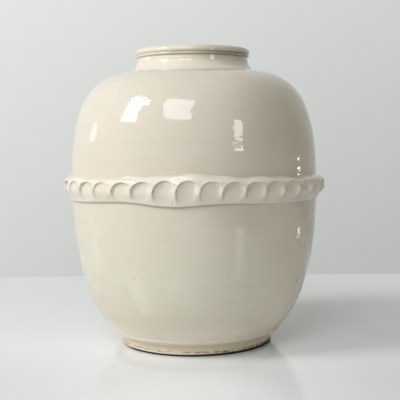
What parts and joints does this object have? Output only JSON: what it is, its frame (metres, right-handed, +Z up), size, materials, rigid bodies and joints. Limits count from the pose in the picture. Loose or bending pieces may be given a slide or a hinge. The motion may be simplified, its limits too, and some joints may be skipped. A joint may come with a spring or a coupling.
{
  "type": "ceramic vase",
  "caption": "Round-bodied glazed ceramic vase with a short beaded neck, a thumb-pressed clay band round the waist and a foot ring; holds flowers or branches.",
  "frame": {"origin": "on the axis of turning, at the level of the face that the foot ring stands on", "axes": "+Z up along the axis of turning, -Y towards the front of the picture, +X to the picture's right"},
  "size_m": [0.2852, 0.2854, 0.32],
  "materials": {
    "cream_glaze": "glossy cream glaze over fired clay",
    "worn_glaze": "thin cream glaze, worn to the clay along the standing edge"
  },
  "bodies": {
    "root": {"lower_body": "cream_glaze", "upper_body": "cream_glaze", "neck_collar": "cream_glaze", "thumbed_band": "cream_glaze", "foot_ring": "worn_glaze"}
  },
  "joints": []
}
